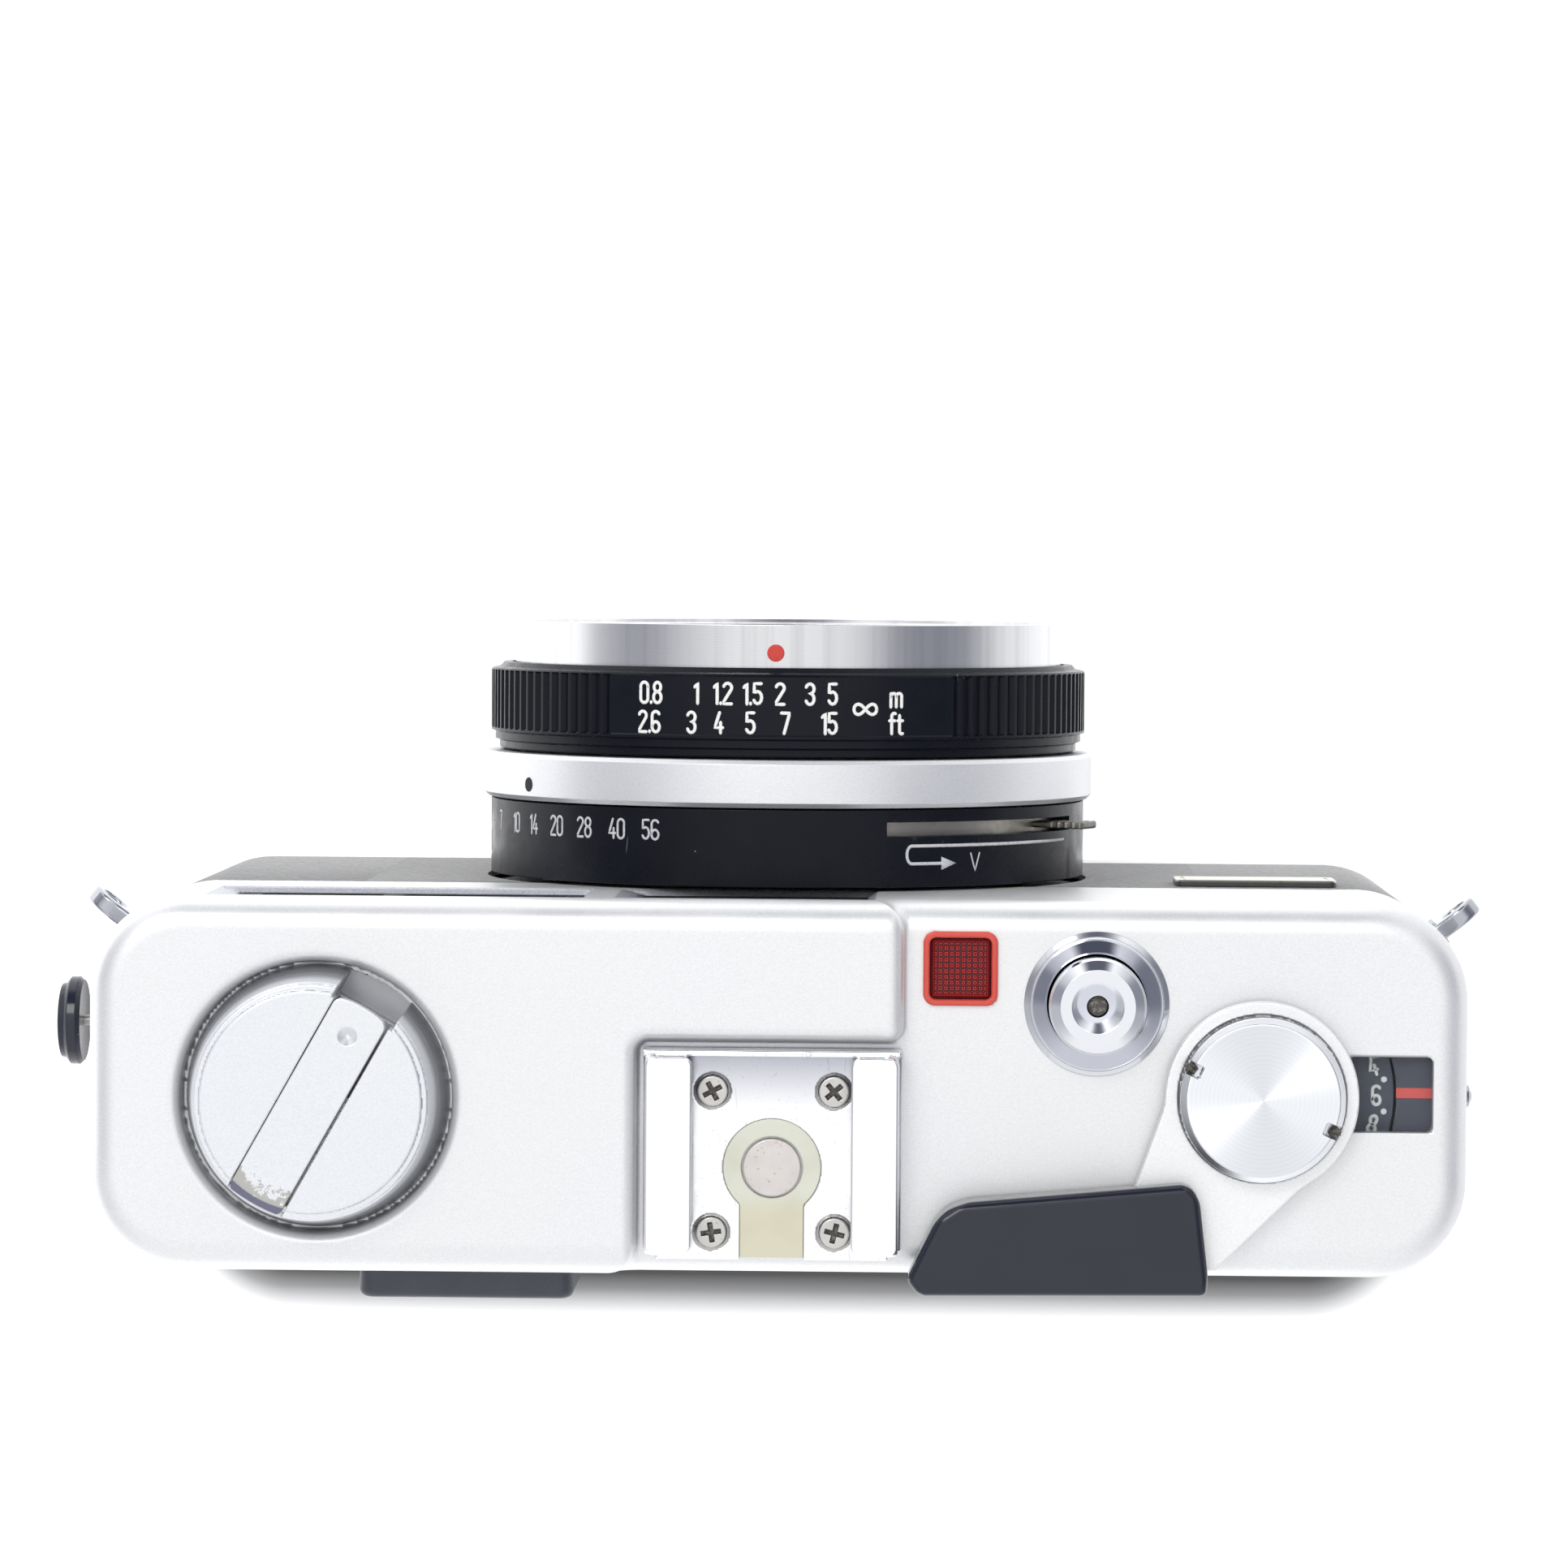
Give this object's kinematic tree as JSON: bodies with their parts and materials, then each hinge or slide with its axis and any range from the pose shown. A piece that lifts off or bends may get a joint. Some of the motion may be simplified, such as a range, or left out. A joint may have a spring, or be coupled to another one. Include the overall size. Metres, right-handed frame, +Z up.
{
  "type": "compact 35 mm rangefinder camera",
  "caption": "Compact film camera with fixed focusing lens, thumb wind lever, folding rewind crank, accessory shoe and hinged back.",
  "frame": {"origin": "on the flat base, under the middle of the body", "axes": "+Z up through the accessory shoe, +X to the viewer's left, lens looks along -Y"},
  "size_m": [0.1193, 0.0558, 0.0734],
  "materials": {
    "cast_alloy": "as-cast, dark",
    "satin_silver": "fine-grained satin silver paint",
    "bright_aluminium": "turned and clear anodised",
    "chrome": "polished",
    "steel": "plain turned or stamped",
    "black_metal": "semi-gloss black",
    "black_plastic": "moulded, glossy",
    "grip_leather": "grained leatherette",
    "cream_plastic": "aged ivory",
    "red_plastic": "translucent red",
    "optical_glass": "coated",
    "brass": "turned"
  },
  "bodies": {
    "camera_body": {"chassis": "cast_alloy", "top_cover": "satin_silver", "bottom_cover": "satin_silver", "front_leather_left": "grip_leather", "front_leather_right": "grip_leather", "badge_plate": "chrome", "accessory_shoe": "chrome", "release_bezel": "chrome", "sync_socket": "chrome", "strap_lug_left": "chrome", "strap_lug_right": "chrome", "viewfinder_window": "optical_glass", "rangefinder_window": "optical_glass", "eyepiece_lens": "optical_glass", "counter_window": "optical_glass", "finder_block": "black_plastic", "eyepiece_frame": "black_plastic", "shoe_insulator": "cream_plastic", "shoe_contact": "steel", "shoe_screw_1": "steel", "shoe_screw_2": "steel", "shoe_screw_3": "steel", "shoe_screw_4": "steel", "release_spring": "steel", "door_hinge_pin": "steel", "side_screw": "steel", "battery": "steel", "lamp_bezel": "red_plastic", "lamp_lens": "red_plastic", "lens_base": "black_metal", "shutter_housing": "black_metal", "tripod_socket": "brass"},
    "release_button": {"release_button": "chrome"},
    "advance_lever": {"advance_lever": "satin_silver", "advance_tip": "black_plastic", "advance_cap": "bright_aluminium"},
    "counter_dial": {"counter_dial": "black_metal"},
    "take_up_spool": {"take_up_spool": "black_plastic"},
    "film_sprocket": {"film_sprocket": "black_metal"},
    "rewind_lift": {"door_catch": "steel"},
    "rewind_knob": {"rewind_knob": "satin_silver", "rewind_shaft": "steel", "crank_pin": "steel"},
    "rewind_crank": {"rewind_crank": "satin_silver"},
    "rear_door": {"rear_door": "black_metal", "door_leather": "grip_leather"},
    "pressure_plate": {"pressure_plate": "black_metal"},
    "index_ring": {"index_ring": "bright_aluminium"},
    "focus_ring": {"focus_ring": "black_metal"},
    "front_barrel": {"front_barrel": "bright_aluminium", "name_ring": "black_metal", "front_lens": "optical_glass", "rear_lens": "optical_glass", "light_cell": "optical_glass"},
    "shutter_blade_left": {"shutter_blade_left": "black_metal"},
    "shutter_blade_right": {"shutter_blade_right": "black_metal"},
    "self_timer_lever": {"self_timer_lever": "steel"},
    "sync_cap": {"sync_cap": "black_plastic"},
    "battery_cover": {"battery_cover": "bright_aluminium"},
    "rewind_release": {"rewind_release": "steel"}
  },
  "joints": [
    {"name": "release_press", "type": "slide", "parent": "camera_body", "child": "release_button", "axis": [0, 0, -1], "range_m": [0, 0.0018], "stiffness_N_per_m": 900, "springref_m": -0.001, "deforming": ["release_spring"]},
    {"name": "advance_stroke", "type": "hinge", "parent": "camera_body", "child": "advance_lever", "pos_m": [-0.0395, 0.00035, 0.067], "axis": [0, 0, 1], "range_deg": [0, 130], "stiffness_Nm_per_rad": 0.02, "springref_deg": -28.65},
    {"name": "counter_turn", "type": "hinge", "parent": "camera_body", "child": "counter_dial", "pos_m": [-0.0395, 0.00035, 0.067], "axis": [0, 0, 1], "range_deg": [0, 8]},
    {"name": "spool_turn", "type": "hinge", "parent": "camera_body", "child": "take_up_spool", "pos_m": [-0.0395, 0.00035, 0.03], "axis": [0, 0, 1], "range_deg": [0, 300]},
    {"name": "sprocket_turn", "type": "hinge", "parent": "camera_body", "child": "film_sprocket", "pos_m": [-0.025, 0.005, 0.03], "axis": [0, 0, 1], "range_deg": [0, 361]},
    {"name": "rewind_pull", "type": "slide", "parent": "camera_body", "child": "rewind_lift", "axis": [0, 0, 1], "range_m": [0, 0.006]},
    {"name": "rewind_turn", "type": "hinge", "parent": "rewind_lift", "child": "rewind_knob", "pos_m": [0.0377, 0.00095, 0.068], "axis": [0, 0, -1], "continuous": true},
    {"name": "crank_unfold", "type": "hinge", "parent": "rewind_knob", "child": "rewind_crank", "pos_m": [0.04192, 0.00844, 0.0727], "axis": [-0.8715, 0.4903, 0], "range_deg": [0, 165]},
    {"name": "door_open", "type": "hinge", "parent": "camera_body", "child": "rear_door", "pos_m": [-0.056, 0.0066, 0.03], "axis": [0, 0, 1], "range_deg": [0, 110]},
    {"name": "plate_press", "type": "slide", "parent": "rear_door", "child": "pressure_plate", "axis": [0, 1, 0], "range_m": [0, 0.0004], "stiffness_N_per_m": 1500, "springref_m": -0.0005},
    {"name": "guide_turn", "type": "hinge", "parent": "camera_body", "child": "index_ring", "pos_m": [0.0003, 0, 0.03], "axis": [0, -1, 0], "range_deg": [-24, 29]},
    {"name": "focus_turn", "type": "hinge", "parent": "camera_body", "child": "focus_ring", "pos_m": [0.0003, 0, 0.03], "axis": [0, -1, 0], "range_deg": [-17, 24]},
    {"name": "barrel_slide", "type": "slide", "parent": "camera_body", "child": "front_barrel", "axis": [0, -1, 0], "range_m": [-0.0008, 0.00115]},
    {"name": "blade_left", "type": "hinge", "parent": "camera_body", "child": "shutter_blade_left", "pos_m": [0.0093, -0.0253, 0.0154], "axis": [0, 1, 0], "range_deg": [0, 38]},
    {"name": "blade_right", "type": "hinge", "parent": "camera_body", "child": "shutter_blade_right", "pos_m": [-0.0087, -0.026, 0.0154], "axis": [0, -1, 0], "range_deg": [0, 38]},
    {"name": "self_timer", "type": "hinge", "parent": "camera_body", "child": "self_timer_lever", "pos_m": [0.0003, 0, 0.03], "axis": [0, -1, 0], "range_deg": [-41, 0]},
    {"name": "sync_cap_pull", "type": "slide", "parent": "camera_body", "child": "sync_cap", "axis": [1, 0, 0], "range_m": [0, 0.005]},
    {"name": "battery_cover_turn", "type": "hinge", "parent": "camera_body", "child": "battery_cover", "pos_m": [0.02, -0.007, 0.0008], "axis": [0, 0, 1], "continuous": true},
    {"name": "rewind_release_press", "type": "slide", "parent": "camera_body", "child": "rewind_release", "axis": [0, 0, 1], "range_m": [0, 0.0015], "stiffness_N_per_m": 400, "springref_m": -0.001}
  ],
  "couplings": [
    {"joint": "counter_turn", "follows": "advance_stroke", "ratio": 0.056923},
    {"joint": "spool_turn", "follows": "advance_stroke", "ratio": 2.2},
    {"joint": "sprocket_turn", "follows": "advance_stroke", "ratio": 2.7692},
    {"joint": "barrel_slide", "follows": "focus_turn", "m_per_rad": 0.002655},
    {"joint": "blade_right", "follows": "blade_left", "ratio": 1}
  ]
}
